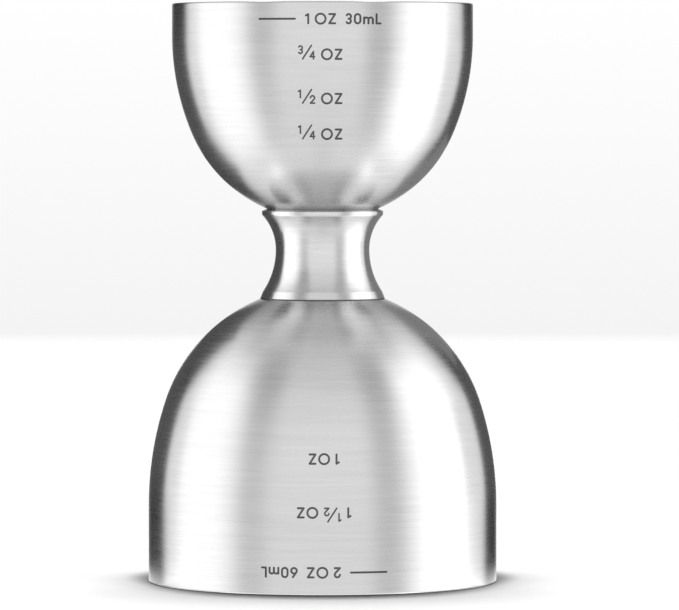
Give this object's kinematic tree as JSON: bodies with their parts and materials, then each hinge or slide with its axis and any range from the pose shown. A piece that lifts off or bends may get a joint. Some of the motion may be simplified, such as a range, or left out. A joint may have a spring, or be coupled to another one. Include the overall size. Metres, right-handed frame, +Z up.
{
  "type": "bar jigger",
  "caption": "Double-ended bell jigger: a larger and a smaller brushed steel measuring cup joined back to back by a waisted collar, with engraved volume marks and level lines inside.",
  "frame": {"origin": "centre of the large cup's rim plane, which is the underside of the object as it stands", "axes": "+Z up along the axis from the large cup to the small cup, -Y towards the side with the engraved volume marks"},
  "size_m": [0.0505, 0.0504, 0.0838],
  "materials": {
    "cup_steel": "fine brushing around the axis, satin",
    "collar_steel": "fine brushing around the axis, satin, brighter lips",
    "brazing_alloy": "as melted"
  },
  "bodies": {
    "root": {"lower_cup": "cup_steel", "upper_cup": "cup_steel", "neck_collar": "collar_steel", "lower_brazing_ring": "brazing_alloy", "upper_brazing_ring": "brazing_alloy"}
  },
  "joints": []
}
